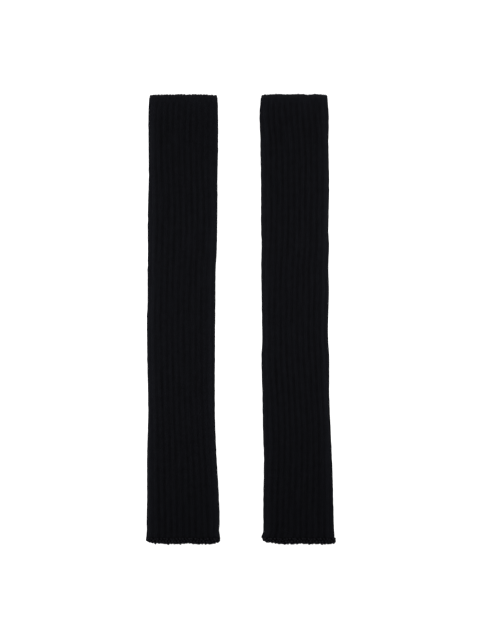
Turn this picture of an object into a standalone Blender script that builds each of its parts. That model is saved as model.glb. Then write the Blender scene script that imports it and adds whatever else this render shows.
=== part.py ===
"""A pair of long rib-knit arm warmers, laid flat side by side.

Each warmer is one tube of 2x2 rib, open at both ends, with a thin bound-off edge at the top and a
thicker, slightly flared cast-on edge at the bottom. It lies pressed flat: its two layers rest on
each other, joined by a round fold down each side.

Frame: z = 0 is the ground, +Z is up, +Y runs from the cast-on edges to the bound-off edges, +X
points right as seen from above, and the origin is under the middle of the pair. Sizes are in
millimetres, and MM turns them to metres.
"""

import math
from typing import NamedTuple

import bmesh
import bpy
from mathutils import Vector

MM = 0.001

# Driving sizes of the knit
LAYER_GAP = 0.7  # air between the two layers
RIBS_ROUND = 25  # 100 stitches in 2x2 rib
RIB_DEPTH = 0.8  # how far the purl troughs lie below the knit ridges
PRESSED_BELOW = 0.5  # share of the height under which the ribs are stretched or pressed flat
FULL_ABOVE = 0.95  # share of the height over which they stand at full depth

# Driving sizes of the warmers
LENGTH = 576.4
TOP_EDGE = 5.0
BOTTOM_EDGE = 9.0
SEAM_GAP = 0.3  # between neighbouring pieces
LEFT_MIDDLE = -75.0  # X of each warmer's own middle line
RIGHT_MIDDLE = 71.0

# Shape of the two end rims
TOP_CORNER = 3.0  # radius of the rim's corners, seen from above
TOP_DOME = 0.9  # how far the rim's middle stands beyond its corners
BOTTOM_CORNER = 4.2
BOTTOM_DOME = 1.6
DOME_POWER = 4
LIP = 0.8  # chamfer round the outer side of each rim
SLIT_STEPS = 10  # points along each side of the slit between the layers
NEAREST_STATION = 1.0  # a table row nearer than this to a tube's end is left out

YARN_COLOUR = (0.008, 0.008, 0.010, 1.0)
YARN_ROUGHNESS = 0.95


class RibPoint(NamedTuple):
    """One point of a rib's profile."""

    across: float  # from the ridge's crown, as a share of the rib pitch
    depth: float  # below the crown


RIB_POINTS = (
    RibPoint(across=-0.3, depth=0.12),
    RibPoint(across=0.0, depth=0.0),
    RibPoint(across=0.3, depth=0.12),
    RibPoint(across=0.5, depth=RIB_DEPTH),
)


class Section(NamedTuple):
    """One cross-section of a laid tube, measured from the warmer's own middle line."""

    up: float  # along +Y from the middle of the pair
    left: float  # the left fold
    right: float  # the right fold
    height: float  # over both layers
    sway: float  # how far right the middle rib has wandered


LEFT_SECTIONS = (
    Section(up=LENGTH / 2, left=-41.2, right=43.9, height=6.4, sway=-0.6),
    Section(up=283.0, left=-41.9, right=44.7, height=6.8, sway=-0.8),
    Section(up=260.0, left=-42.9, right=45.7, height=6.6, sway=-1.8),
    Section(up=208.0, left=-42.6, right=45.5, height=6.5, sway=-2.0),
    Section(up=178.0, left=-42.5, right=44.6, height=6.7, sway=-0.6),
    Section(up=127.0, left=-44.0, right=44.3, height=6.8, sway=1.4),
    Section(up=86.0, left=-43.6, right=43.5, height=6.6, sway=0.6),
    Section(up=62.0, left=-44.0, right=42.1, height=6.5, sway=0.5),
    Section(up=0.0, left=-44.8, right=41.6, height=6.6, sway=0.1),
    Section(up=-58.0, left=-44.4, right=41.2, height=6.8, sway=0.8),
    Section(up=-99.0, left=-43.5, right=41.1, height=6.7, sway=1.1),
    Section(up=-140.0, left=-43.9, right=41.7, height=6.5, sway=2.5),
    Section(up=-181.0, left=-44.7, right=43.6, height=6.5, sway=3.8),
    Section(up=-222.0, left=-44.6, right=46.1, height=6.7, sway=3.8),
    Section(up=-258.0, left=-45.1, right=47.4, height=6.8, sway=4.5),
    Section(up=-279.0, left=-45.7, right=47.9, height=7.0, sway=4.7),
    Section(up=-LENGTH / 2, left=-46.0, right=48.1, height=7.0, sway=4.7),
)

RIGHT_SECTIONS = (
    Section(up=LENGTH / 2, left=-44.4, right=39.4, height=6.4, sway=-2.0),
    Section(up=283.0, left=-45.0, right=39.6, height=6.7, sway=-1.8),
    Section(up=260.0, left=-46.6, right=41.0, height=6.6, sway=-0.2),
    Section(up=224.0, left=-45.8, right=40.6, height=6.5, sway=2.4),
    Section(up=172.0, left=-45.1, right=41.5, height=6.7, sway=2.2),
    Section(up=112.0, left=-44.9, right=40.5, height=6.8, sway=2.3),
    Section(up=95.0, left=-44.3, right=41.4, height=6.7, sway=1.3),
    Section(up=34.0, left=-44.0, right=41.3, height=6.5, sway=-0.9),
    Section(up=-7.0, left=-43.5, right=40.3, height=6.6, sway=-1.2),
    Section(up=-48.0, left=-44.1, right=41.6, height=6.8, sway=-0.5),
    Section(up=-99.0, left=-43.3, right=41.7, height=6.6, sway=1.9),
    Section(up=-150.0, left=-42.2, right=43.8, height=6.5, sway=2.5),
    Section(up=-191.0, left=-41.3, right=45.6, height=6.6, sway=1.0),
    Section(up=-232.0, left=-41.8, right=46.8, height=6.7, sway=-0.4),
    Section(up=-263.0, left=-42.1, right=48.0, height=6.8, sway=-1.3),
    Section(up=-279.0, left=-43.4, right=49.4, height=7.0, sway=-1.4),
    Section(up=-LENGTH / 2, left=-43.0, right=50.2, height=7.0, sway=-1.4),
)


class Rim(NamedTuple):
    """The shape of a tube's end, seen from above."""

    corner: float  # radius of its two corners
    dome: float  # how far its middle stands beyond them
    outward: float  # +1 at the top end, -1 at the bottom end


TOP_RIM = Rim(TOP_CORNER, TOP_DOME, 1.0)
BOTTOM_RIM = Rim(BOTTOM_CORNER, BOTTOM_DOME, -1.0)


def section_at(sections, up):
    """The cross-section at any height, between the two rows of the table next to it."""
    for above, below in zip(sections, sections[1:]):
        if below.up <= up <= above.up:
            share = (above.up - up) / (above.up - below.up)
            return Section(*(a + share * (b - a) for a, b in zip(above, below)))
    raise ValueError(f"no section at {up}")


def outline_point(along, half_flat, radius):
    """The point and outward normal at a distance along a flattened tube's outline.

    The distance runs to the right from the middle of the upper layer, over the right fold.
    """
    side = math.copysign(1.0, along)
    past_flat = abs(along) - half_flat
    if past_flat <= 0.0:
        return Vector((along, 2 * radius)), Vector((0.0, 1.0))
    angle = past_flat / radius
    if angle < math.pi:
        normal = Vector((side * math.sin(angle), math.cos(angle)))
        return Vector((side * half_flat, radius)) + radius * normal, normal
    return Vector((side * (half_flat - past_flat + math.pi * radius), 0.0)), Vector((0.0, -1.0))


def relief(height_share):
    """How much of its depth a rib keeps: none against the ground, all of it on the upper layer."""
    share = (height_share - PRESSED_BELOW) / (FULL_ABOVE - PRESSED_BELOW)
    return min(max(share, 0.0), 1.0)


def outer_ring(section, sink=0.0):
    """The outside of one cross-section as X and Z, drawn in by sink, with RIB_POINTS to each rib."""
    radius = section.height / 2
    half_flat = (section.right - section.left) / 2 - radius
    middle = (section.left + section.right) / 2
    around = 4 * half_flat + 2 * math.pi * radius
    pitch = around / RIBS_ROUND
    points = []
    for rib in range(RIBS_ROUND):
        for rib_point in RIB_POINTS:
            along = (rib + rib_point.across) * pitch + section.sway
            along = (along + around / 2) % around - around / 2
            point, normal = outline_point(along, half_flat, radius)
            depth = rib_point.depth * relief(point.y / section.height)
            points.append(point - normal * (depth + sink) + Vector((middle, 0.0)))
    return points


def inner_ring(section):
    """The slit between the two layers as X and Z, with a pointed end in each fold."""
    middle = section.height / 2
    half_gap = LAYER_GAP / 2
    wall_thickness = middle - half_gap
    left = section.left + wall_thickness + half_gap
    right = section.right - wall_thickness - half_gap
    steps = [left + (right - left) * step / SLIT_STEPS for step in range(SLIT_STEPS + 1)]
    upper = [Vector((x, middle + half_gap)) for x in steps]
    lower = [Vector((x, middle - half_gap)) for x in reversed(steps)]
    right_end = Vector((right + half_gap, middle))
    left_end = Vector((left - half_gap, middle))
    return upper + [right_end] + lower + [left_end]


def rim_drop(rim, section, x):
    """How far the rim stands back at one place across the warmer."""
    half = (section.right - section.left) / 2
    off_middle = min(abs(x - (section.left + section.right) / 2), half)
    to_fold = half - off_middle
    round_off = 0.0
    if to_fold < rim.corner:
        round_off = rim.corner - math.sqrt(rim.corner**2 - (rim.corner - to_fold) ** 2)
    return round_off + rim.dome * (off_middle / half) ** DOME_POWER


def placed(ring, section, up, rim=None, share=0.0):
    """A ring's points in space, set back towards its corners by a share of the rim's shape."""
    points = []
    for point in ring:
        back = share * rim.outward * rim_drop(rim, section, point.x) if rim else 0.0
        points.append(Vector((point.x, up - back, point.y)) * MM)
    return points


def start_ring(bm, points):
    """A closed ring of edges through the points."""
    ring = [bm.verts.new(point) for point in points]
    for first, second in zip(ring, ring[1:] + ring[:1]):
        bm.edges.new((first, second))
    return ring


def ring_edges(bm, ring):
    return [bm.edges.get(pair) for pair in zip(ring, ring[1:] + ring[:1])]


def extend_ring(bm, ring, points):
    """Extrudes the wall from a ring to new points, and returns the ring that it ends in."""
    made = bmesh.ops.extrude_edge_only(bm, edges=ring_edges(bm, ring))["geom"]
    fresh = {item for item in made if isinstance(item, bmesh.types.BMVert)}
    moved = []
    for vertex, point in zip(ring, points):
        twin = next(e.other_vert(vertex) for e in vertex.link_edges if e.other_vert(vertex) in fresh)
        twin.co = point
        moved.append(twin)
    return moved


def wall(bm, rings):
    """A wall through a list of rings, and its first and last ring."""
    first = last = start_ring(bm, rings[0])
    for points in rings[1:]:
        last = extend_ring(bm, last, points)
    return first, last


def close_rim(bm, outside, inside):
    """Joins the outer and the inner wall at one end of a tube."""
    bmesh.ops.triangle_fill(
        bm,
        use_beauty=True,
        use_dissolve=False,
        edges=ring_edges(bm, outside) + ring_edges(bm, inside),
        normal=(0.0, 1.0, 0.0),
    )


def tube_mesh(name, outer, inner):
    """A closed tube mesh from the rings of its outer and its inner wall."""
    bm = bmesh.new()
    outer_start, outer_end = wall(bm, outer)
    inner_start, inner_end = wall(bm, inner)
    close_rim(bm, outer_start, inner_start)
    close_rim(bm, outer_end, inner_end)
    bmesh.ops.recalc_face_normals(bm, faces=bm.faces)
    mesh = bpy.data.meshes.new(name)
    bm.to_mesh(mesh)
    bm.free()
    mesh.shade_smooth()
    mesh.set_sharp_from_angle(angle=math.radians(50))
    return mesh


def rib_tube(name, sections):
    """The ribbed tube between the two edges."""
    top = LENGTH / 2 - TOP_EDGE - SEAM_GAP
    bottom = -LENGTH / 2 + BOTTOM_EDGE + SEAM_GAP
    stations = [section_at(sections, top)]
    low, high = bottom + NEAREST_STATION, top - NEAREST_STATION
    stations += [section for section in sections if low < section.up < high]
    stations += [section_at(sections, bottom)]
    outer = [placed(outer_ring(section), section, section.up) for section in stations]
    inner = [placed(inner_ring(section), section, section.up) for section in stations]
    return tube_mesh(name, outer, inner)


def edge_band(name, sections, rim, length):
    """The knitted edge at one end, with its corners rounded and its outer lip chamfered."""
    end = rim.outward * LENGTH / 2
    seam = section_at(sections, end - rim.outward * length)
    lip = section_at(sections, end - rim.outward * LIP)
    last = section_at(sections, end)
    outer = [
        placed(outer_ring(seam), seam, seam.up),
        placed(outer_ring(lip), lip, lip.up, rim, 1.0),
        placed(outer_ring(last, LIP), last, last.up, rim, 1.0),
    ]
    inner = [
        placed(inner_ring(seam), seam, seam.up),
        placed(inner_ring(last), last, last.up, rim, 1.0),
    ]
    return tube_mesh(name, outer, inner)


def yarn_material(name):
    """Black yarn, matt and slightly fuzzy."""
    material = bpy.data.materials.new(name)
    material.use_nodes = True
    shader = material.node_tree.nodes["Principled BSDF"]
    shader.inputs["Base Color"].default_value = YARN_COLOUR
    shader.inputs["Roughness"].default_value = YARN_ROUGHNESS
    shader.inputs["Metallic"].default_value = 0.0
    return material


def add_piece(name, mesh, material_name, parent):
    """Puts a mesh in the scene as its own object, with its own material, on its warmer."""
    mesh.materials.append(yarn_material(material_name))
    piece = bpy.data.objects.new(name, mesh)
    piece.parent = parent
    bpy.context.scene.collection.objects.link(piece)


def arm_warmer(side, middle, sections):
    """One warmer: its ribbed tube and its two edges, on an empty at its own middle."""
    empty = bpy.data.objects.new(f"{side}_warmer", None)
    empty.location = (middle * MM, 0.0, 0.0)
    bpy.context.scene.collection.objects.link(empty)
    tube = rib_tube(f"{side}_rib_tube", sections)
    top = edge_band(f"{side}_top_edge", sections, TOP_RIM, TOP_EDGE)
    bottom = edge_band(f"{side}_bottom_edge", sections, BOTTOM_RIM, BOTTOM_EDGE)
    add_piece(f"{side}_rib_tube", tube, f"{side}_rib_yarn", empty)
    add_piece(f"{side}_top_edge", top, f"{side}_bound_off_yarn", empty)
    add_piece(f"{side}_bottom_edge", bottom, f"{side}_cast_on_yarn", empty)


def clear_scene():
    for existing in list(bpy.data.objects):
        bpy.data.objects.remove(existing, do_unlink=True)


def main():
    clear_scene()
    arm_warmer("left", LEFT_MIDDLE, LEFT_SECTIONS)
    arm_warmer("right", RIGHT_MIDDLE, RIGHT_SECTIONS)


main()
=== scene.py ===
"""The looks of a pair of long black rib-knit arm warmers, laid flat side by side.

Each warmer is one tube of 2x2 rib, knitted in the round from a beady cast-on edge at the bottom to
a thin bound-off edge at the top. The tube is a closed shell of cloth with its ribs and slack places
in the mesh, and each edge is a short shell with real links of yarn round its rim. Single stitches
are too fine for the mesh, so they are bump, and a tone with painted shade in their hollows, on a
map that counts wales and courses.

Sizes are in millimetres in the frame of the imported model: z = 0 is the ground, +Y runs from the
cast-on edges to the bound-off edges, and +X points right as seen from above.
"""

import logging
import math
from collections.abc import Callable
from dataclasses import dataclass
from enum import Enum
from functools import partial

import bmesh
import bpy
import numpy as np
from mathutils import Matrix, Vector


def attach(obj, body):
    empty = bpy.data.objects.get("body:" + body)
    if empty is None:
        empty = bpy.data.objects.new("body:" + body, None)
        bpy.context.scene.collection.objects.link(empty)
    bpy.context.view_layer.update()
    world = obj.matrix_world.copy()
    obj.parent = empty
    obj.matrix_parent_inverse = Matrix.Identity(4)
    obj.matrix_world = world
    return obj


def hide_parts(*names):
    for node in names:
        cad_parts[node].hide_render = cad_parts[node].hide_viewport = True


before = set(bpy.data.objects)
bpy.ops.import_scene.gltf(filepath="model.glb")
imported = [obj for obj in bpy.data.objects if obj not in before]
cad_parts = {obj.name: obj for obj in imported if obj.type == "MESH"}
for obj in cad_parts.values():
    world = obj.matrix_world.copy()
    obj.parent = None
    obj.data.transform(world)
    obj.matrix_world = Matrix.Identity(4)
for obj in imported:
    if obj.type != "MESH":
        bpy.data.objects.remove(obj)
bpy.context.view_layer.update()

log = logging.getLogger("arm_warmers")

Node = bpy.types.Node
Socket = bpy.types.NodeSocket
AddNode = Callable[..., Node]
BMesh = bmesh.types.BMesh
Array = np.ndarray

MM = 0.001

# The knit
RIBS_ROUND = 25
WALES_IN_RIB = 4
COURSE = 2.24
LAYER_GAP = 0.7

# The laid pair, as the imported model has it
LENGTH = 576.4
TOP_EDGE = 5.0
BOTTOM_EDGE = 9.0

# The ribbed tube, between the seams to its two edges
TUBE_TOP = LENGTH / 2 - TOP_EDGE
TUBE_BOTTOM = -LENGTH / 2 + BOTTOM_EDGE
COURSES = round((TUBE_TOP - TUBE_BOTTOM) / COURSE)

# The colour sockets of Blender's Mix node, by number because several share a name
MIX_FACTOR, MIX_FIRST, MIX_SECOND, MIX_RESULT = 0, 6, 7, 2

# The mesh layers that the finishes read: how much painted sheen the cloth has at a point, lighter
# along the folds and the bound-off end, and how much of the ribs' depth is left there, each from 0
# to 1
PAINTED_SHEEN_LAYER = "painted_sheen"
RELIEF_LAYER = "relief"

# Each rib or link has its own angle, which its chance comes from. It turns by this much from one to
# the next, close to the golden angle, so that neighbours never look alike. Factors of it, such as
# 1.3 and 2.9, only keep one chance apart from another.
OWN_TURN = 2.4

# How near to each other points of a shell are welded, and the angle over which an edge is sharp
WELD = 0.002
SHARP_DEGREES = 80


class Side(Enum):
    """Which warmer of the pair, as seen from above."""

    LEFT = "left"
    RIGHT = "right"


class End(Enum):
    """An end of a tube, with the way that points out of it along Y."""

    TOP = 1.0
    BOTTOM = -1.0


@dataclass(frozen=True)
class Lay:
    """How one warmer lies at one height: a cross-section, from the warmer's own middle line."""

    up: float
    left: float
    right: float
    height: float
    sway: float  # how far to the right the middle rib lies


# Columns: up, left, right, height, sway
LEFT_LAY = (
    Lay(288.2, -41.2, 43.9, 6.4, -0.6),
    Lay(283.0, -41.9, 44.7, 6.8, -0.8),
    Lay(260.0, -42.9, 45.7, 6.6, -1.8),
    Lay(208.0, -42.6, 45.5, 6.5, -2.0),
    Lay(178.0, -42.5, 44.6, 6.7, -0.6),
    Lay(127.0, -44.0, 44.3, 6.8, 1.4),
    Lay(86.0, -43.6, 43.5, 6.6, 0.6),
    Lay(62.0, -44.0, 42.1, 6.5, 0.5),
    Lay(22.0, -44.0, 41.9, 6.5, -0.2),
    Lay(0.0, -44.8, 41.6, 6.6, 0.1),
    Lay(-58.0, -44.4, 41.2, 6.8, 0.8),
    Lay(-99.0, -43.5, 41.1, 6.7, 1.1),
    Lay(-140.0, -43.9, 41.7, 6.5, 2.5),
    Lay(-181.0, -44.7, 43.6, 6.5, 3.8),
    Lay(-222.0, -44.6, 46.1, 6.7, 3.8),
    Lay(-258.0, -45.1, 47.4, 6.8, 4.5),
    Lay(-270.0, -44.9, 46.9, 6.9, 4.7),
    Lay(-279.0, -45.7, 47.9, 7.0, 4.7),
    Lay(-288.2, -46.0, 48.1, 7.0, 4.7),
)

# Columns: up, left, right, height, sway
RIGHT_LAY = (
    Lay(288.2, -44.4, 39.4, 6.4, -2.0),
    Lay(283.0, -45.0, 39.6, 6.7, -1.8),
    Lay(260.0, -46.6, 41.0, 6.6, -0.2),
    Lay(224.0, -45.8, 40.6, 6.5, 2.4),
    Lay(172.0, -45.1, 41.5, 6.7, 2.2),
    Lay(112.0, -44.9, 40.5, 6.8, 2.3),
    Lay(95.0, -44.3, 41.4, 6.7, 1.3),
    Lay(68.0, -44.5, 40.5, 6.6, 0.3),
    Lay(34.0, -44.0, 41.3, 6.5, -0.9),
    Lay(-7.0, -43.4, 40.3, 6.6, -1.2),
    Lay(-27.0, -43.1, 40.5, 6.7, -1.1),
    Lay(-48.0, -44.1, 41.6, 6.8, -0.5),
    Lay(-99.0, -43.3, 41.7, 6.6, 1.9),
    Lay(-150.0, -42.2, 43.8, 6.5, 2.5),
    Lay(-191.0, -41.3, 45.6, 6.6, 1.0),
    Lay(-232.0, -41.8, 46.8, 6.7, -0.4),
    Lay(-263.0, -41.8, 47.7, 6.8, -1.3),
    Lay(-273.0, -42.0, 48.2, 6.9, -1.4),
    Lay(-279.0, -44.4, 48.5, 7.0, -1.4),
    Lay(-288.2, -42.5, 50.2, 7.0, -1.4),
)


@dataclass(frozen=True)
class Slack:
    """One soft trough or swell where the laid cloth isn't taut, on the upper layer."""

    across: float
    up: float
    length: float
    width: float
    lean: float  # degrees that its length leans to the right of straight up
    rise: float  # of its middle, below zero in a trough


# Columns: across, up, length, width, lean, rise
LEFT_SLACK = (
    Slack(30.0, -240.0, 46.0, 15.0, -8.0, 0.45),
    Slack(6.0, -262.0, 40.0, 14.0, 6.0, -0.4),
    Slack(-24.0, -205.0, 60.0, 13.0, 4.0, -0.35),
    Slack(-30.0, 110.0, 95.0, 14.0, -3.0, 0.35),
    Slack(10.0, 30.0, 80.0, 18.0, 5.0, 0.3),
    Slack(-6.0, 198.0, 55.0, 16.0, -7.0, -0.4),
    Slack(32.0, 160.0, 70.0, 12.0, 3.0, 0.35),
    Slack(18.0, -120.0, 75.0, 15.0, -5.0, -0.3),
)

# Columns: across, up, length, width, lean, rise
RIGHT_SLACK = (
    Slack(28.0, -235.0, 60.0, 14.0, 7.0, -0.4),
    Slack(-20.0, -262.0, 42.0, 15.0, -6.0, -0.35),
    Slack(31.0, 150.0, 90.0, 12.0, -3.0, 0.4),
    Slack(-16.0, 205.0, 60.0, 17.0, 5.0, -0.35),
    Slack(-28.0, 20.0, 110.0, 15.0, 2.0, 0.35),
    Slack(12.0, -60.0, 70.0, 16.0, -6.0, 0.3),
    Slack(-4.0, -150.0, 85.0, 14.0, 4.0, -0.3),
)


@dataclass(frozen=True)
class RimPoint:
    """How far one place on a warmer's end stands back from the full length."""

    across: float
    back: float


# Columns: across, back
LEFT_TOP_RIM = (
    RimPoint(-36.0, 1.4),
    RimPoint(-28.0, 1.0),
    RimPoint(-15.0, 1.0),
    RimPoint(-2.0, 0.5),
    RimPoint(8.0, 1.0),
    RimPoint(18.0, 0.5),
    RimPoint(28.0, 1.0),
    RimPoint(36.0, 1.2),
    RimPoint(41.0, 1.7),
)

# Columns: across, back
RIGHT_TOP_RIM = (
    RimPoint(-40.0, 1.2),
    RimPoint(-33.0, 0.5),
    RimPoint(-23.0, 0.1),
    RimPoint(-10.0, 0.7),
    RimPoint(1.5, 0.0),
    RimPoint(9.0, 0.4),
    RimPoint(15.5, 1.1),
    RimPoint(24.5, 0.2),
    RimPoint(34.0, 0.7),
    RimPoint(38.5, 1.7),
)

# Columns: across, back
LEFT_BOTTOM_RIM = (
    RimPoint(-45.0, 3.5),
    RimPoint(-41.0, 2.3),
    RimPoint(-37.0, 1.5),
    RimPoint(-28.0, 1.3),
    RimPoint(-21.5, 0.1),
    RimPoint(-12.5, 0.9),
    RimPoint(-7.5, 0.1),
    RimPoint(6.5, 1.5),
    RimPoint(13.0, 0.8),
    RimPoint(23.0, 0.3),
    RimPoint(31.0, 0.3),
    RimPoint(40.0, 0.8),
    RimPoint(44.0, 1.7),
    RimPoint(47.5, 3.0),
)

# Columns: across, back
RIGHT_BOTTOM_RIM = (
    RimPoint(-41.0, 3.4),
    RimPoint(-36.0, 3.0),
    RimPoint(-30.5, 2.1),
    RimPoint(-24.0, 0.5),
    RimPoint(-20.0, 1.1),
    RimPoint(-15.0, 0.2),
    RimPoint(-7.5, 0.2),
    RimPoint(5.5, 1.0),
    RimPoint(9.0, 0.6),
    RimPoint(18.0, 0.4),
    RimPoint(27.0, 0.6),
    RimPoint(36.0, 0.0),
    RimPoint(44.0, 0.5),
    RimPoint(48.8, 1.4),
    RimPoint(50.5, 2.2),
)


def smooth_step(share: Array) -> Array:
    """Eases shares from 0 to 1, flat at both ends, and holds any beyond them there."""
    share = np.clip(share, 0.0, 1.0)
    return share * share * (3.0 - 2.0 * share)


def waves(across: Array, up: float, turn: float) -> Array:
    """Adds up a few waves that never fall in step, which look like chance.

    Args:
        across: Places on the first axis, in grains.
        up: The place on the second axis, in grains.
        turn: Which of many such patterns, as an angle.

    Returns:
        Values from about -1 to 1.
    """
    total = 0.0
    for step in range(4):  # each shorter than the last across, longer up, and with its own lean
        own = turn * (1.0 + 0.7 * step)
        lean = 0.6 * math.sin(own + step)
        first = np.sin(across * (1.9 + 0.8 * step) + up * lean + own)
        total = total + first * np.sin(up * (2.3 - 0.45 * step) + across * 0.3 * lean + 1.7 * own)
    return total / 2.2


def linear_colour(hex_code: str) -> tuple[float, float, float, float]:
    """Turns an sRGB hex colour to the linear values that shaders take.

    Args:
        hex_code: Six hex digits after a hash sign.

    Returns:
        Red, green, blue and an alpha of 1.
    """
    values = [int(hex_code[i : i + 2], 16) / 255 for i in (1, 3, 5)]
    red, green, blue = (
        v / 12.92 if v <= 0.04045 else ((v + 0.055) / 1.055) ** 2.4 for v in values
    )
    return red, green, blue, 1.0


def add_node(tree: bpy.types.NodeTree, kind: str, *inputs: object, **settings: object) -> Node:
    """Adds a node, sets it up and links it.

    Args:
        tree: The node tree that gets the node.
        kind: The node's type, without the ShaderNode before it. A dot and an operation may follow.
        inputs: Its inputs in order, or one dict of them by name or number: for each a value, the
            socket to link, or a node whose first output is linked.
        settings: Properties of the node by name.

    Returns:
        The new node.
    """
    kind, _, operation = kind.partition(".")
    node = tree.nodes.new(f"ShaderNode{kind}")
    if operation:
        node.operation = operation
    for name, value in settings.items():
        setattr(node, name, value)
    by_name = inputs[0] if inputs and isinstance(inputs[0], dict) else dict(enumerate(inputs))
    for name, value in by_name.items():
        source = value.outputs[0] if isinstance(value, Node) else value
        if isinstance(source, Socket):
            tree.links.new(source, node.inputs[name])
        else:
            node.inputs[name].default_value = source
    return node


def emptied(owner: bpy.types.Material | bpy.types.World) -> AddNode:
    """Gives a material or world an empty node tree.

    Args:
        owner: The material or world.

    Returns:
        What adds a node to the tree.
    """
    owner.use_nodes = True
    owner.node_tree.nodes.clear()
    return partial(add_node, owner.node_tree)


@dataclass(frozen=True)
class YarnFinish:
    """Soft-spun black wool-blend yarn, as it is on the links of an edge.

    It is matt, with a soft twist of plies and a fuzz of stray fibre that catches light at grazing
    angles.
    """

    name: str
    shade: str = "#191a1f"
    # the dark end of the mix: the painted shade in the relief's hollows, and the heather's dark
    # side
    heather_and_painted_hollow_shade: str = "#0b0b0e"
    sheen_shade: str = "#c9c9d2"
    roughness: float = 0.95
    specular: float = 0.05
    sheen: float = 0.05
    sheen_roughness: float = 0.5
    twist_mm: float = 1.1
    twist_turn: tuple[float, float, float] = (0.4, 0.0, 0.9)  # so that plies cross a link aslant
    twist_distortion: float = 1.5
    deep_mm: float = 0.18  # of the hollows that the bump draws
    fuzz_mm: float = 0.45
    fuzz: float = 0.4  # the fuzz's share of the relief
    heather_mm: float = 7.0
    heather: float = 0.3  # how far the heather moves the shade towards light or dark
    painted_sheen_lift: float = 0.6  # how much lighter the painted sheen makes the cloth, along the folds and the bound-off end
    painted_shade_gain: float = 0.35  # painted shade: how much lighter the tops of the relief are than its hollows
    tone_base: float = 0.6

    def grain(self, add: AddNode, size_mm: float) -> Node:
        """Adds a noise from 0 to 1 in object space, with a grain of the given size."""
        place = add("TexCoord").outputs["Object"]
        return add("TexNoise", {"Vector": place, "Scale": 1.0 / (size_mm * MM)})

    def relief(self, add: AddNode) -> Node | Socket:
        """Draws the plies of the yarn.

        Args:
            add: Adds a node to the material.

        Returns:
            Their height, from 0 to 1.
        """
        place = add("TexCoord").outputs["Object"]
        turned = add("Mapping", {"Vector": place, "Rotation": self.twist_turn})
        scale = 1.0 / (self.twist_mm * MM * 3.0)  # a wave texture has three bands to a unit
        twist = {"Vector": turned, "Scale": scale, "Distortion": self.twist_distortion}
        return add("TexWave", twist).outputs["Fac"]

    def toned(self, add: AddNode, tone: Node) -> Node:
        """Moves the tone that follows the relief, with its painted shade in the hollows, by
        whatever else the pattern has.
        """
        return tone

    def colour(self, add: AddNode, tone: Node) -> Socket:
        """Mixes the yarn's shades by the tone with its painted shade in the hollows, by the painted
        sheen and by a faint heather.

        Args:
            add: Adds a node to the material.
            tone: The pattern's tone, from 0 in the hollows to 1, which paints shade in the hollows.

        Returns:
            The colour socket.
        """
        grain = add("Math.SUBTRACT", self.grain(add, self.heather_mm), 0.5)
        # The painted sheen, which lightens the cloth along the folds and at the bound-off end.
        painted_sheen = add("Attribute", attribute_name=PAINTED_SHEEN_LAYER).outputs["Fac"]
        lift = add("Math.MULTIPLY_ADD", painted_sheen, self.painted_sheen_lift, tone)
        share = add("Math.MULTIPLY_ADD", grain, self.heather * 2, lift)
        inputs = {
            MIX_FACTOR: add("Math.MAXIMUM", share, 0.0),
            MIX_FIRST: linear_colour(self.heather_and_painted_hollow_shade),
            MIX_SECOND: linear_colour(self.shade),
        }
        return add("Mix", inputs, data_type="RGBA", clamp_factor=False).outputs[MIX_RESULT]

    def material(self) -> bpy.types.Material:
        """Builds the material.

        Returns:
            The material.
        """
        material = bpy.data.materials.new(self.name)
        add = emptied(material)
        fuzz = add("Math.MULTIPLY_ADD", self.grain(add, self.fuzz_mm), self.fuzz, -self.fuzz / 2)
        height = add("Math.ADD", self.relief(add), fuzz)
        # The tone follows the height: painted shade in the relief's hollows, lighter on its tops.
        tone = add("Math.MULTIPLY_ADD", height, self.painted_shade_gain, self.tone_base)
        surface = {
            "Base Color": self.colour(add, self.toned(add, tone)),
            "Normal": add("Bump", {"Distance": self.deep_mm * MM, "Height": height}),
            "Roughness": self.roughness,
            "Metallic": 0.0,
            "Specular IOR Level": self.specular,
            "Sheen Weight": self.sheen,
            "Sheen Roughness": self.sheen_roughness,
            "Sheen Tint": linear_colour(self.sheen_shade),
        }
        add("OutputMaterial", {"Surface": add("BsdfPrincipled", surface)})
        return material


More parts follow.
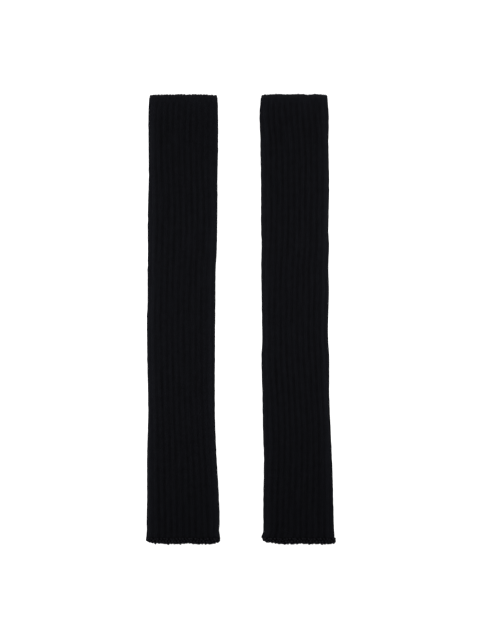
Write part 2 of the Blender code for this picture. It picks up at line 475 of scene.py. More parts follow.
@dataclass(frozen=True)
class RibKnitFinish(YarnFinish):
    """The yarn in 2x2 rib: V stitches in pairs on each ridge, and purl bars in each trough.

    Its UV map goes once round the tube along U, and up it along V.
    """

    deep_mm: float = 0.4
    fuzz: float = 0.3
    painted_shade_gain: float = 0.5
    tone_base: float = 0.35
    uv_map: str = "Knit"
    courses: float = 250.0  # on the whole height of the UV map
    fullness: float = 0.6  # of a stitch's back, 1 for a cosine's and less for a blunter one
    leg_slope: float = 1.3  # courses that a stitch's leg climbs, for a wale across
    middle_slope: float = 9.0  # how fast a leg rises from its V's middle, for a wale across
    side_slope: float = 7.0  # how fast it rises from the wale's side
    purl_arch: float = 1.8  # courses that a purl bar arches, for the square of a wale across
    purl_share: float = 0.75  # of a knit stitch's height
    painted_trough_shade: float = 0.3  # painted shade: how much darker the purl troughs are, which hold less stray light
    trough_start: float = 0.6  # wales from the ridge's crown
    trough_slope: float = 1.25  # how fast the shade deepens, for a wale across
    streak: float = 0.35  # how unlike in shade the wales are
    streak_scale: float = 0.6  # of the noise that they are from, in wales
    streak_courses: float = 12.0  # as long as one wale is wide

    def grid(self, add: AddNode) -> tuple[Node, Node, Node]:
        """Reads the place in the knit from the UV map.

        Args:
            add: Adds a node to the material.

        Returns:
            The place round the tube in wales, the place up it in courses, and the wales from the
            ridge's crown, which are knit within 1 and purl from there to 2.
        """
        split = add("SeparateXYZ", add("UVMap", uv_map=self.uv_map)).outputs
        wale = add("Math.MULTIPLY", split[0], RIBS_ROUND * WALES_IN_RIB)
        course = add("Math.MULTIPLY", split[1], self.courses)
        half_rib = WALES_IN_RIB / 2
        return wale, course, add("Math.PINGPONG", add("Math.ADD", wale, half_rib), half_rib)

    def relief(self, add: AddNode) -> Node:
        """Draws the stitches.

        Args:
            add: Adds a node to the material.

        Returns:
            Their height, from 0 to 1.
        """
        _, course, in_rib = self.grid(add)
        knit = add("Math.LESS_THAN", in_rib, 1.0)

        # Each wale's own middle, and the two legs of a V that lean out from it.
        in_wale = add("Math.SUBTRACT", add("Math.FRACT", in_rib), 0.5)
        off_middle = add("Math.ABSOLUTE", in_wale)
        leg = add("Math.SUBTRACT", course, add("Math.MULTIPLY", off_middle, self.leg_slope))
        middle = add("Math.MULTIPLY", off_middle, self.middle_slope, use_clamp=True)
        off_side = add("Math.SUBTRACT", 0.5, off_middle)
        side = add("Math.MULTIPLY", off_side, self.side_slope, use_clamp=True)
        vee = add("Math.MULTIPLY", self.wave(add, leg), add("Math.MULTIPLY", middle, side))

        # A purl stitch is a bar that arches over its wale and dips between two.
        arch = add("Math.MULTIPLY", off_middle, off_middle)
        arched = add("Math.MULTIPLY_ADD", arch, self.purl_arch, course)
        high = add("Math.MULTIPLY_ADD", arch, -2.0 * self.purl_share, self.purl_share)
        bar = add("Math.MULTIPLY", self.wave(add, arched), high)
        bars = add("Math.MULTIPLY", bar, add("Math.SUBTRACT", 1.0, knit))
        return add("Math.ADD", add("Math.MULTIPLY", vee, knit), bars)

    def wave(self, add: AddNode, phase: Node) -> Node:
        """Adds a wave that goes from 0 to 1 and back once for each course of its phase."""
        cosine = add("Math.COSINE", add("Math.MULTIPLY", phase, 2 * math.pi))
        return add("Math.POWER", add("Math.MULTIPLY_ADD", cosine, 0.5, 0.5), self.fullness)

    def toned(self, add: AddNode, tone: Node) -> Node:
        """Adds faint streaks along the wales, as of yarn that isn't all alike, and painted shade in
        the troughs.

        Args:
            add: Adds a node to the material.
            tone: The tone that follows the relief, with painted shade in its hollows.

        Returns:
            The tone with both.
        """
        wale, course, in_rib = self.grid(add)
        place = add("CombineXYZ", wale, add("Math.DIVIDE", course, self.streak_courses))
        noise = add("TexNoise", {"Vector": place, "Scale": self.streak_scale})
        streaks = add("Math.MULTIPLY", add("Math.SUBTRACT", noise, 0.5), self.streak * 2)

        # Painted shade, from the ridge's side to the trough's middle, and less where the ribs are
        # flat.
        slope, base = self.trough_slope, -self.trough_slope * self.trough_start
        into = add("Math.MULTIPLY_ADD", in_rib, slope, base, use_clamp=True)
        kept = add("Attribute", attribute_name=RELIEF_LAYER).outputs["Fac"]
        trough = add("Math.MULTIPLY", add("Math.MULTIPLY", into, kept), self.painted_trough_shade)
        return add("Math.SUBTRACT", add("Math.ADD", tone, streaks), trough)


@dataclass(frozen=True)
class RibProfile:
    """The relief of one rib, as depth below the crown of its two knit wales."""

    depth: float = 0.95
    half_ridge: float = 0.31  # of the pitch, where the side of the ridge is half way down
    steepness: int = 5
    parting: float = 0.2  # depth of the groove between the two knit wales
    parting_width: float = 0.06

    def below_crown(self, share: Array) -> Array:
        """Measures the relief.

        Args:
            share: Places across the rib, in pitches from its crown, from -0.5 to 0.5.

        Returns:
            The depth at each.
        """
        ridge = 1.0 / (1.0 + (np.abs(share) / self.half_ridge) ** (2 * self.steepness))
        groove = np.exp(-((share / self.parting_width) ** 2))
        return self.depth * (1.0 - ridge) + self.parting * groove


@dataclass(frozen=True)
class Section:
    """A flattened tube's cross-section at one height: two flats and two half-round folds."""

    up: float
    middle: float  # between the folds
    half: float  # of the whole width
    radius: float  # of each fold
    sway: float

    @property
    def half_flat(self) -> float:
        """Half the width of the flat part of each layer."""
        return self.half - self.radius

    @property
    def around(self) -> float:
        """The way once round the tube."""
        return 4 * self.half_flat + 2 * math.pi * self.radius

    @property
    def wall(self) -> float:
        """The thickness of the cloth."""
        return self.radius - LAYER_GAP / 2

    def spots(self, along: Array, depth: Array) -> tuple[Array, Array, Array]:
        """Finds places in the cloth.

        Args:
            along: The way round to each, to the right from the middle of the upper layer.
            depth: How far each is below the surface.

        Returns:
            X, Z, and the share of the full height at which the surface lies there.
        """
        along = (along + self.around / 2) % self.around - self.around / 2
        side = np.where(along < 0.0, -1.0, 1.0)
        past_flat = np.abs(along) - self.half_flat
        angle = np.clip(past_flat / self.radius, 0.0, math.pi)
        come_back = np.maximum(past_flat - math.pi * self.radius, 0.0)
        on_flat = np.minimum(np.abs(along), self.half_flat) - come_back
        reach = self.radius - depth
        x = self.middle + side * (on_flat + reach * np.sin(angle))
        return x, self.radius + reach * np.cos(angle), (1.0 + np.cos(angle)) / 2


@dataclass(frozen=True)
class Rim:
    """The shape of a tube's end, seen from above."""

    points: tuple[RimPoint, ...]
    corner: float
    reach: float  # the edge's length, over which the rim's shape fades out
    scallop: float  # how much further each trough between two ribs stands back
    farthest: float = 0.6  # share of the reach that no place stands further back than

    def drop(self, section: Section, x: Array) -> Array:
        """Measures how far the rim stands back at places across the warmer.

        Args:
            section: The cross-section at the rim.
            x: The places across.

        Returns:
            How far each stands back.
        """
        off_middle = np.minimum(np.abs(x - section.middle), section.half)
        into_corner = np.maximum(self.corner - (section.half - off_middle), 0.0)
        round_off = self.corner - np.sqrt(self.corner**2 - into_corner**2)
        backs = np.array([point.back for point in self.points])
        at = np.interp(x, [point.across for point in self.points], np.arange(len(self.points)))
        before = np.minimum(at.astype(int), len(self.points) - 2)
        step = backs[before + 1] - backs[before]
        back = round_off + backs[before] + step * smooth_step(at - before)

        # A dip between each two ribs, and two waves of chance that are out of step with the ribs.
        rib = (x - section.middle - section.sway) / section.around * RIBS_ROUND
        wavy = 1.0 - np.cos(2 * math.pi * rib) + np.sin(2.9 * rib) + np.sin(9.3 * rib + 1.0)
        return np.clip(back + self.scallop / 2 * wavy, 0.0, self.farthest * self.reach)


@dataclass(frozen=True)
class LaidTube:
    """The surface of one laid warmer, which all its pieces are cut from."""

    side: Side
    middle: float
    turn: float  # what makes the chance of one warmer's knit differ from the other's
    lay: tuple[Lay, ...]
    slack: tuple[Slack, ...]
    profile: RibProfile = RibProfile()
    fold_fullness: float = 0.75  # how far each fold stands out, so that its ribs straddle the lay
    shoulder: float = 0.2  # share of the height that is lost towards each fold
    shoulder_width: float = 13.0
    painted_sheen_width: float = 16.0  # of the band of painted sheen along each fold
    painted_sheen_end: float = 0.4  # how much painted sheen the bound-off end has, as a share of the folds'
    painted_sheen_length: float = 45.0  # over which that fades
    top_flat: float = 6.5  # of the bound-off end, where the ribs are all but gone
    top_relief: float = 0.12  # share of the ribs' depth that is left there
    top_fade: float = 7.0  # over which they come up below it
    pressed: float = 0.45  # share of the ribs' depth that is left against the ground
    pressed_below: float = 0.9  # share of the height below which the ribs are pressed
    wander: float = 0.35  # how far a rib's crown strays from its even place
    wander_grains: tuple[float, float] = (21.0, 8.7)  # of the two waves that it strays in
    fuller: float = 0.18  # how much deeper a rib is here and there
    fuller_grain: float = 17.0
    unevenness: float = 0.12  # how far the upper layer's surface rises and falls
    uneven_grain: float = 11.0
    waver: float = 0.16  # how far each fold strays in or out, from stitch to stitch
    waver_grain: float = 4.2

    def section(self, up: float) -> Section:
        """Reads the cross-section at one height, on a smooth curve through the rows.

        Args:
            up: The place along Y.

        Returns:
            The cross-section.
        """
        lay = self.lay
        index = next((i for i in range(len(lay) - 2) if lay[i + 1].up <= up), len(lay) - 2)
        rows = (lay[0], *lay, lay[-1])[index : index + 4]
        before, high, low, after = (row.up for row in rows)
        span = high - low
        share = (high - up) / span

        def through(name: str) -> float:
            """Reads one column on its curve."""
            p0, p1, p2, p3 = (getattr(row, name) for row in rows)
            slope_1 = (p2 - p0) / (before - low) * span
            slope_2 = (p3 - p1) / (high - after) * span
            s2, s3 = share**2, share**3
            return (
                p1 * (2 * s3 - 3 * s2 + 1)
                + slope_1 * (s3 - 2 * s2 + share)
                + p2 * (3 * s2 - 2 * s3)
                + slope_2 * (s3 - s2)
            )

        # The two folds are far enough apart, in grains, to waver each in its own way.
        wavers = waves(np.array([0.0, 5.0]), up / self.waver_grain, self.turn) * self.waver
        left = through("left") - self.fold_fullness + wavers[0]
        right = through("right") + self.fold_fullness + wavers[1]
        middle, half = (left + right) / 2, (right - left) / 2
        return Section(up, middle, half, through("height") / 2, through("sway"))

    def swell(self, x: Array, up: float) -> Array:
        """Measures how far slack lifts or sinks the upper layer.

        Args:
            x: Places across, from the warmer's middle line.
            up: The place along Y.

        Returns:
            The rise at each, below zero in a trough.
        """
        rise = np.zeros_like(x)
        for slack in self.slack:
            lean = math.radians(slack.lean)
            dx, dy = x - slack.across, up - slack.up
            across = dx * math.cos(lean) - dy * math.sin(lean)
            along = dx * math.sin(lean) + dy * math.cos(lean)
            far = (across / slack.width) ** 2 + (along / slack.length) ** 2
            rise += slack.rise * np.exp(-far)
        return rise

    def relief(self, up: float, height_share: Array) -> Array:
        """Measures how much of its depth a rib keeps.

        Args:
            up: The place along Y.
            height_share: How high the surface is, from 0 on the ground to 1 on top.

        Returns:
            The share of the profile's depth.
        """
        off_ground = smooth_step(height_share / self.pressed_below)
        kept = self.pressed + (1.0 - self.pressed) * off_ground
        below_flat = smooth_step((LENGTH / 2 - self.top_flat - up) / self.top_fade)
        return kept * (self.top_relief + (1.0 - self.top_relief) * below_flat)

    def near_fold(self, section: Section, x: Array, width: float) -> Array:
        """Measures how near a fold places across are, from 0 outside a band along it to 1 on it."""
        return smooth_step((np.abs(x - section.middle) - section.half + width) / width)

    def painted_sheen(self, section: Section, x: Array) -> Array:
        """Measures how much painted sheen the cloth has, lighter along the folds and at the
        bound-off end.

        Args:
            section: The cross-section there.
            x: Places across the warmer.

        Returns:
            How much painted sheen each has, from 0 to 1.
        """
        below_end = (LENGTH / 2 - section.up) / self.painted_sheen_length
        end = self.painted_sheen_end * (1.0 - smooth_step(np.array(below_end)))
        folds = self.near_fold(section, x, self.painted_sheen_width)
        return folds + (1.0 - folds) * end

    def shouldered(self, section: Section, x: Array, z: Array) -> Array:
        """Lowers heights towards the folds, where the cloth is pulled round."""
        return z * (1.0 - self.shoulder * self.near_fold(section, x, self.shoulder_width))

    def places(self, section: Section, ribs: Array, inside: float) -> Array:
        """Finds points of the cloth, all at one height.

        Args:
            section: The cross-section there.
            ribs: The way round to each, in rib pitches from the middle rib.
            inside: 0 on the outer face and 1 on the inner face.

        Returns:
            A row of X, Y and Z for each point.
        """
        up, pitch = section.up, section.around / RIBS_ROUND
        rib = np.rint(ribs)
        off_crown = ribs - rib
        own = self.turn + rib * OWN_TURN
        long, short = (up / grain for grain in self.wander_grains)
        stray = self.wander * np.sin(long + own) * np.sin(short + 1.7 * own)
        along = ribs * pitch + section.sway + stray * (1.0 - 2.0 * np.abs(off_crown))
        outer_x, _, share = section.spots(along, np.zeros_like(along))
        fuller = 1.0 + self.fuller * np.sin(up / self.fuller_grain + 1.9 * own)
        depth = self.profile.below_crown(off_crown) * self.relief(up, share) * fuller
        uneven = self.unevenness * waves(ribs, up / self.uneven_grain, self.turn)
        on_top = smooth_step((share - 0.5) * 2.0)
        depth -= (self.swell(outer_x, up) + uneven) * on_top
        depth += (section.wall - depth) * inside
        x, z, _ = section.spots(along, depth)
        z = np.maximum(self.shouldered(section, x, z), 0.0)
        return np.stack([self.middle + x, np.full_like(x, up), z], axis=1)


@dataclass(frozen=True)
class Row:
    """One row of points round a shell."""

    up: float
    inside: float = 0.0  # 0 on the outer face, 1 on the inner face
    rim_share: float = 0.0  # how much of the rim's shape it takes on
    beyond: float = 0.0  # how far past its height the lip carries it


@dataclass(frozen=True)
class Shell:
    """A closed ring of cloth, drawn from one grid that wraps round the tube and through it."""

    tube: LaidTube
    rows: tuple[Row, ...]
    map_heights: tuple[float, ...]  # of each row on the UV map, with the first again at the end
    uv_map: str
    end: End = End.TOP
    rim: Rim | None = None
    points_in_rib: int = 12

    def row_points(self, row: Row) -> Array:
        """Works out the points of one row, all the way round.

        Args:
            row: The row.

        Returns:
            Its points in millimetres, the first again at the end.
        """
        columns = RIBS_ROUND * self.points_in_rib
        ribs = np.arange(columns) / self.points_in_rib - RIBS_ROUND / 2
        section = self.tube.section(row.up)
        points = self.tube.places(section, ribs, row.inside)
        if self.rim:
            drop = self.rim.drop(section, points[:, 0] - self.tube.middle)
            points[:, 1] += self.end.value * (row.beyond - row.rim_share * drop)
        return np.concatenate([points, points[:1]])

    def build(self, bm: BMesh) -> None:
        """Adds the shell to an empty mesh: a grid, wrapped so that its opposite edges meet.

        Args:
            bm: The mesh that gets it.
        """
        columns = RIBS_ROUND * self.points_in_rib
        count = len(self.rows)
        uv = bm.loops.layers.uv.new(self.uv_map)
        painted_sheen = bm.verts.layers.float.new(PAINTED_SHEEN_LAYER)
        relief = bm.verts.layers.float.new(RELIEF_LAYER)
        grid = bmesh.ops.create_grid(bm, x_segments=columns, y_segments=count, size=0.5)["verts"]
        rows = [*self.rows, self.rows[0]]
        points = [self.row_points(row) for row in rows]
        # The painted sheen at each point, and how much of the ribs' depth each row keeps.
        painted_sheen_rows = [
            self.tube.painted_sheen(self.tube.section(row.up), line[:, 0] - self.tube.middle)
            for row, line in zip(rows, points)
        ]
        kept = [float(self.tube.relief(row.up, np.ones(1))[0]) for row in rows]
        for face in bm.faces:
            for loop in face.loops:
                flat = loop.vert.co
                row = round((flat.y + 0.5) * count)
                loop[uv].uv = (flat.x + 0.5, self.map_heights[row])
        for vertex in grid:
            column = round((vertex.co.x + 0.5) * columns)
            row = round((vertex.co.y + 0.5) * count)
            vertex[painted_sheen], vertex[relief] = painted_sheen_rows[row][column], kept[row]
            vertex.co = points[row][column] * MM
        bmesh.ops.remove_doubles(bm, verts=grid, dist=WELD * MM)
        bmesh.ops.recalc_face_normals(bm, faces=bm.faces)


def add_piece(
    bm: BMesh, node: str, materials: list[bpy.types.Material]
) -> bpy.types.Object:
    """Puts a finished mesh in the scene in place of its CAD node.

    Args:
        bm: The mesh in work, whose faces point out. It is freed.
        node: The CAD node's name, which the piece takes with the word knit after it.
        materials: Its materials, in the order of its material indices.

    Returns:
        The piece.
    """
    mesh = bpy.data.meshes.new(node)
    bm.to_mesh(mesh)
    bm.free()
    mesh.shade_smooth()
    mesh.set_sharp_from_angle(angle=math.radians(SHARP_DEGREES))
    for material in materials:
        mesh.materials.append(material)
    piece = bpy.data.objects.new(f"{node}_knit", mesh)
    bpy.context.scene.collection.objects.link(piece)
    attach(piece, "root")
    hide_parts(node)
    log.info("%s: %d faces", piece.name, len(mesh.polygons))
    return piece


@dataclass(frozen=True)
class LinkPoint:
    """One point on a yarn link's way over the lip of the cloth."""

    across: float  # to the right, as seen from the outer face
    above: float  # over the cloth's outer face
    beyond: float  # past the rim


@dataclass(frozen=True)
class LinkChain:
    """A row of equal yarn links round a rim, each a bead drawn out along its way over the lip."""

    thickness: float
    way: tuple[LinkPoint, ...]
    offset: float = 0.0  # of the first link, in shares of the spacing
    count: int = 2 * RIBS_ROUND
    unevenness: float = 0.12  # of the links' sizes
    stray: float = 0.0  # how far a link lies out of its row
    lean: float = 0.35  # how far a link's outer end leans to either side
    upright: float = -2.0  # the place past the rim where it doesn't lean
    lean_length: float = 3.0  # from there, over which it leans by the whole of that
    plumpness: float = 0.6  # 1 for the taper of a round bead, less for a blunter link
    sides: int = 7
    rings: int = 9

    def point(self, share: float) -> LinkPoint:
        """Finds a place on a link's way.

        Args:
            share: How far along it, from 0 to 1.

        Returns:
            The place.
        """
        at = share * (len(self.way) - 1)
        index = min(max(int(at), 0), len(self.way) - 2)
        points = (self.way[0], *self.way, self.way[-1])[index : index + 4]
        s = at - index

        def through(name: str) -> float:
            """Reads one column on its curve."""
            p0, p1, p2, p3 = (getattr(point, name) for point in points)
            return 0.5 * (
                2 * p1
                + (p2 - p0) * s
                + (2 * p0 - 5 * p1 + 4 * p2 - p3) * s**2
                + (3 * p1 - p0 - 3 * p2 + p3) * s**3
            )

        return LinkPoint(through("across"), through("above"), through("beyond"))

    def add_link(self, bm: BMesh, way: list[Vector], size: float) -> None:
        """Adds one link, a sphere drawn out along its middle line.

        Args:
            bm: The mesh that gets it.
            way: The middle line, with a point more at each end.
            size: Its thickness, as a share of the chain's.
        """
        radius = self.thickness / 2 * size
        bead = bmesh.ops.create_uvsphere(
            bm, u_segments=self.sides, v_segments=self.rings, radius=1.0
        )["verts"]
        outward = (way[2] - way[0]).cross(way[-1] - way[-3])
        for vertex in bead:
            ring = round(math.acos(min(max(-vertex.co.z, -1.0), 1.0)) / math.pi * self.rings)
            before, here, after = way[ring : ring + 3]
            ahead = (after - before).normalized()
            beside = outward.cross(ahead).normalized()
            out = ahead.cross(beside)
            taper = max(math.hypot(vertex.co.x, vertex.co.y), 1e-6)  # more than 0 at its ends
            full = radius * taper ** (self.plumpness - 1.0)
            wide = (beside * vertex.co.x + out * vertex.co.y) * full
            vertex.co = (here + wide) * MM


@dataclass(frozen=True)
class RibTube:
    """The ribbed tube of one warmer, between its two edges."""

    tube: LaidTube
    inner_rows: int = 16
    outer_map: float = 0.94  # of the UV map's height, the rest being the hidden inner face
    uv_map: str = "OFBake"  # the name of the tube's own UV map

    def build(self) -> bpy.types.Object:
        """Builds and dresses the tube, with a row to a course up its outer face, and fewer inside.

        Returns:
            The piece.
        """
        span = TUBE_TOP - TUBE_BOTTOM
        outer = [TUBE_BOTTOM + span * i / COURSES for i in range(COURSES + 1)]
        inner = [TUBE_TOP - span * i / self.inner_rows for i in range(self.inner_rows + 1)]
        rows = [Row(up) for up in outer] + [Row(up, inside=1.0) for up in inner]
        heights = [self.outer_map * i / COURSES for i in range(COURSES + 1)]
        rest, steps = 1.0 - self.outer_map, self.inner_rows + 2
        heights += [self.outer_map + rest * (i + 1) / steps for i in range(steps)]
        side = self.tube.side.value
        bm = bmesh.new()
        Shell(self.tube, tuple(rows), tuple(heights), self.uv_map).build(bm)
        finish = RibKnitFinish(
            name=f"{side} black wool-blend 2x2 rib knit",
            uv_map=self.uv_map,
            courses=COURSES / self.outer_map,
        )
        return add_piece(bm, f"{side}_rib_tube", [finish.material()])


@dataclass(frozen=True)
class KnitEdge:
    """One knitted edge: a short shell of cloth with a half-round lip, and its links of yarn."""

    tube: LaidTube
    end: End
    name: str
    slot: str
    rim: Rim
    chains: tuple[LinkChain, ...]
    # The edge's colours hold painted light: lighter at the bound-off edge as painted sheen, and at
    # the cast-on a near-black cloth as painted shade, under knots lightened as painted highlights.
    cloth_shade_with_painted_light: str
    yarn_shade_with_painted_light: str
    outer_rows: int
    set_back: float  # of the cloth's lip behind the links' outer faces
    lip_rows: int = 8
    inner_rows: int = 3

    def shell(self) -> Shell:
        """Lays out the rows: along the outer face, over the lip and back along the inner face.

        Returns:
            The shell.
        """
        sign = self.end.value
        seam = sign * (LENGTH / 2 - self.rim.reach)
        rim_up = sign * (LENGTH / 2 - self.set_back)
        lip = self.tube.section(rim_up).wall / 2
        start = rim_up - sign * lip
        shares = [i / self.outer_rows for i in range(self.outer_rows + 1)]
        rows = [Row(seam + (start - seam) * share, rim_share=share) for share in shares]
        for i in range(1, self.lip_rows):
            angle = math.pi * i / self.lip_rows
            inside = (1.0 - math.cos(angle)) / 2
            rows.append(Row(start, inside, 1.0, lip * math.sin(angle)))
        shares = [i / self.inner_rows for i in range(self.inner_rows + 1)]
        rows += [Row(start + (seam - start) * share, 1.0, 1.0 - share) for share in shares]
        heights = tuple(i / len(rows) for i in range(len(rows) + 1))
        return Shell(self.tube, tuple(rows), heights, "Knit", self.end, self.rim)

    def way_points(self, chain: LinkChain, index: int, own: float) -> list[Vector]:
        """Works out the middle line of one link.

        Args:
            chain: Its chain.
            index: Its number in the chain.
            own: The angle that its chance comes from.

        Returns:
            One point before the link's start, one for each of its rings, and one past its end.
        """
        sign = self.end.value
        section = self.tube.section(sign * LENGTH / 2)
        home = (index + chain.offset) / chain.count * section.around
        home += chain.stray * math.sin(own * 2.9)
        lean = chain.lean * math.sin(own)
        spots = [chain.point(step / chain.rings) for step in range(-1, chain.rings + 2)]
        leans = [lean * (s.beyond - chain.upright) / chain.lean_length for s in spots]
        along = np.array([home + s.across + aside for s, aside in zip(spots, leans)])
        depth = np.array([-s.above for s in spots])
        beyond = np.array([s.beyond for s in spots]) + chain.stray * math.sin(own * 2.1 + 1.0)

        # Against the ground, a link is pressed into the cloth instead of standing proud.
        _, _, share = section.spots(along, depth)
        lowest = chain.thickness / 2 + max(point.above for point in chain.way)
        depth += lowest * smooth_step(2.0 * (1.0 - share))
        x, z, _ = section.spots(along, depth)
        near_rim = np.clip(1.0 + beyond / self.rim.reach, 0.0, 1.0)
        y = sign * (LENGTH / 2 + (beyond - near_rim * self.rim.drop(section, x)))
        z = self.tube.shouldered(section, x, z)
        return [Vector(point) for point in zip(self.tube.middle + x, y, z)]

    def build(self) -> bpy.types.Object:
        """Builds and dresses the edge.

        Returns:
            The piece.
        """
        node = f"{self.tube.side.value}_{self.name}"
        shell = self.shell()
        bm = bmesh.new()
        shell.build(bm)
        for chain in self.chains:  # each in a small mesh of its own, where adding a link is fast
            links = bmesh.new()
            for index in range(chain.count):
                own = index * OWN_TURN + self.tube.turn + chain.offset
                size = 1.0 + chain.unevenness * math.sin(own * 1.3)
                chain.add_link(links, self.way_points(chain, index, own), size)
            for face in links.faces:
                face.material_index = 1
            made = bpy.data.meshes.new("links")
            links.to_mesh(made)
            links.free()
            bm.from_mesh(made)
            bpy.data.meshes.remove(made)
        courses = self.rim.reach / COURSE * len(shell.rows) / self.outer_rows
        cloth = RibKnitFinish(f"{node} wool-blend knit", shade=self.cloth_shade_with_painted_light, courses=courses)
        yarn = YarnFinish(f"{node} wool-blend yarn", shade=self.yarn_shade_with_painted_light)
        return add_piece(bm, node, [cloth.material(), yarn.material()])


def bound_off_edge(tube: LaidTube) -> KnitEdge:
    """Describes the thin neat edge at the top, a close chain of links along the rim.

    Args:
        tube: The warmer's surface.

    Returns:
        The edge.
    """
    link = (  # columns: across, above, beyond
        LinkPoint(-2.6, -0.9, -2.4),
        LinkPoint(-1.5, -0.1, -1.8),
        LinkPoint(0.3, -0.1, -0.8),
        LinkPoint(1.7, -0.9, -0.2),
        LinkPoint(2.6, -2.0, -0.6),
    )
    points = LEFT_TOP_RIM if tube.side is Side.LEFT else RIGHT_TOP_RIM
    return KnitEdge(
        tube=tube,
        end=End.TOP,
        name="top_edge",
        slot="bound_off_edge",
        rim=Rim(points, corner=2.6, reach=TOP_EDGE, scallop=0.3),
        chains=(LinkChain(thickness=1.9, way=link),),
        # Painted sheen: the bound-off edge's cloth and links are lighter than the tube's yarn.
        cloth_shade_with_painted_light="#1f1f23",
        yarn_shade_with_painted_light="#27272c",
        outer_rows=8,
        set_back=0.1,
    )


def knots(beyond: float, lean: float, offset: float) -> LinkChain:
    """Describes a row of knots of the cast-on, bars of yarn that arch up between their neighbours.

    Args:
        beyond: Where their middles are, past the rim.
        lean: How far their right ends are nearer the rim than their middles.
        offset: Of the first knot, in shares of the spacing.

    Returns:
        The row.
    """
    way = (  # columns: across, above, beyond
        LinkPoint(-1.6, -0.9, beyond - 0.4 - lean),
        LinkPoint(-0.8, 0.0, beyond - lean * 0.5),
        LinkPoint(0.0, 0.35, beyond + 0.1),
        LinkPoint(0.8, 0.0, beyond + lean * 0.5),
        LinkPoint(1.6, -0.9, beyond - 0.4 + lean),
    )
    return LinkChain(1.7, way, offset, unevenness=0.2, stray=0.25, plumpness=1.0)


def cast_on_edge(tube: LaidTube) -> KnitEdge:
    """Describes the beady edge at the bottom, two staggered rows of knots above a corded rim.

    Args:
        tube: The warmer's surface.

    Returns:
        The edge.
    """
    cord = (  # columns: across, above, beyond
        LinkPoint(-2.0, -0.8, -2.6),
        LinkPoint(-1.1, 0.2, -2.0),
        LinkPoint(0.4, 0.1, -0.6),
        LinkPoint(1.5, -1.1, 0.0),
        LinkPoint(2.1, -2.5, -0.6),
    )
    points = LEFT_BOTTOM_RIM if tube.side is Side.LEFT else RIGHT_BOTTOM_RIM
    return KnitEdge(
        tube=tube,
        end=End.BOTTOM,
        name="bottom_edge",
        slot="cast_on_edge",
        rim=Rim(points, corner=4.2, reach=BOTTOM_EDGE, scallop=0.55),
        chains=(
            LinkChain(1.9, cord, unevenness=0.18, stray=0.15, plumpness=0.8),
            knots(beyond=-4.2, lean=-0.5, offset=0.5),
            knots(beyond=-7.0, lean=0.5, offset=0.0),
        ),
        # Painted shade: the cloth under the knots is near black. Painted highlight: the knots' yarn
        # is lighter than the tube's.
        cloth_shade_with_painted_light="#060608",
        yarn_shade_with_painted_light="#29292f",
        outer_rows=14,
        set_back=0.3,
    )


@dataclass(frozen=True)
class ArmWarmer:
    """One arm warmer: its tube and its two edges."""

    tube: LaidTube
    measures: int = 21  # heights at which the way round is taken, for its mean

    def build(self) -> None:
        """Builds its pieces and works out the tube's mean way round."""
        cloth = RibTube(self.tube).build()
        edges = [bound_off_edge(self.tube).build(), cast_on_edge(self.tube).build()]
        ups = np.linspace(TUBE_BOTTOM, TUBE_TOP, self.measures).tolist()
        around = sum(self.tube.section(up).around for up in ups) / self.measures


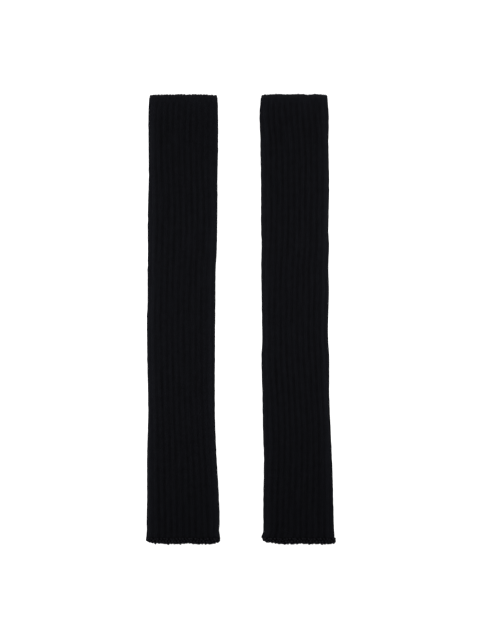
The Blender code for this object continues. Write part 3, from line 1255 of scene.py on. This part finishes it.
@dataclass(frozen=True)
class Studio:
    """A backlit white table, two softboxes and a camera straight over the pair, in metres."""

    floor_size: float = 80.0
    floor_drop: float = 0.0002
    floor_grain: float = 0.025
    floor_roughness: float = 0.5
    floor_spread: float = 0.06  # of its roughness
    ambient: float = 0.15
    softbox_size: float = 0.35
    softbox_watts: float = 1.86
    softbox_place: tuple[float, float, float] = (0.45, 0.07, 0.45)  # of the right one, and mirrored
    softbox_stagger: float = 0.05  # how much nearer the tops the right one is, and the left not
    softbox_aim: tuple[float, float, float] = (0.0, 0.05, 0.0)
    lens: float = 100.0
    frame_height: float = 0.8192
    frame_up: float = 0.0033  # the height above the ground at which the frame is that high
    sensor: float = 36.0
    aim: tuple[float, float] = (-0.00115, -0.00102)
    sight: float = 200.0

    def build_floor(self) -> None:
        """Lays the table top."""
        bm = bmesh.new()
        bmesh.ops.create_grid(bm, x_segments=4, y_segments=4, size=self.floor_size / 2)
        bmesh.ops.translate(bm, verts=bm.verts, vec=(0.0, 0.0, -self.floor_drop))
        mesh = bpy.data.meshes.new("studio_floor")
        bm.to_mesh(mesh)
        bm.free()
        material = bpy.data.materials.new("backlit white acrylic")
        add = emptied(material)
        place = add("TexCoord").outputs["Object"]
        grain = add("TexNoise", {"Vector": place, "Scale": 1.0 / self.floor_grain})
        acrylic = {
            "Base Color": linear_colour("#f6f6f6"),
            "Roughness": add("Math.MULTIPLY_ADD", grain, self.floor_spread, self.floor_roughness),
            "Emission Color": linear_colour("#ffffff"),
            "Emission Strength": 1.0,
        }
        add("OutputMaterial", {"Surface": add("BsdfPrincipled", acrylic)})
        mesh.materials.append(material)
        floor = bpy.data.objects.new("studio_floor", mesh)
        bpy.context.scene.collection.objects.link(floor)

    def build_surround(self) -> None:
        """Sets the faint light of the room, behind a backdrop as white as the table."""
        world = bpy.data.worlds.new("white studio")
        add = emptied(world)
        room, backdrop = (
            add("Background", {"Color": linear_colour("#ffffff"), "Strength": strength})
            for strength in (self.ambient, 1.0)
        )
        seen = add("LightPath").outputs["Is Camera Ray"]
        add("OutputWorld", {"Surface": add("MixShader", seen, room, backdrop)})
        bpy.context.scene.world = world

    def build_softbox(self, side: Side) -> None:
        """Hangs one softbox, just outside the frame and turned to the pair.

        Args:
            side: Which side of the pair it is on.
        """
        softbox = bpy.data.lights.new(f"{side.value}_softbox", "AREA")
        softbox.shape = "SQUARE"
        softbox.size = self.softbox_size
        softbox.energy = self.softbox_watts
        lamp = bpy.data.objects.new(softbox.name, softbox)
        bpy.context.scene.collection.objects.link(lamp)
        sign = -1.0 if side is Side.LEFT else 1.0
        place = Vector(self.softbox_place)
        place.x *= sign
        place.y += sign * self.softbox_stagger
        turn = (place - Vector(self.softbox_aim)).to_track_quat("Z", "Y")
        lamp.matrix_world = Matrix.Translation(place) @ turn.to_matrix().to_4x4()
        lamp.visible_camera = False

    def build_camera(self) -> None:
        """Hangs the camera, looking straight down with the pair's tops towards the frame's top."""
        camera = bpy.data.cameras.new("camera")
        camera.lens = self.lens
        camera.sensor_width = self.sensor
        camera.clip_end = self.sight
        rig = bpy.data.objects.new("camera", camera)
        distance = self.lens / self.sensor * self.frame_height
        rig.location = (*self.aim, distance + self.frame_up)
        bpy.context.scene.collection.objects.link(rig)
        bpy.context.scene.camera = rig

    def build(self) -> None:
        """Builds the studio."""
        self.build_floor()
        self.build_surround()
        for side in Side:
            self.build_softbox(side)
        self.build_camera()
        bpy.context.scene.view_settings.view_transform = "Standard"
        log.info("studio: floor, light and camera")


def main() -> None:
    """Builds the studio and the pair."""
    logging.basicConfig(level=logging.INFO, format="%(name)s: %(message)s")
    Studio().build()
    for tube in (
        LaidTube(Side.LEFT, middle=-75.0, turn=0.8, lay=LEFT_LAY, slack=LEFT_SLACK),
        LaidTube(Side.RIGHT, middle=71.0, turn=3.1, lay=RIGHT_LAY, slack=RIGHT_SLACK),
    ):
        ArmWarmer(tube).build()


if __name__ == "__main__":
    main()
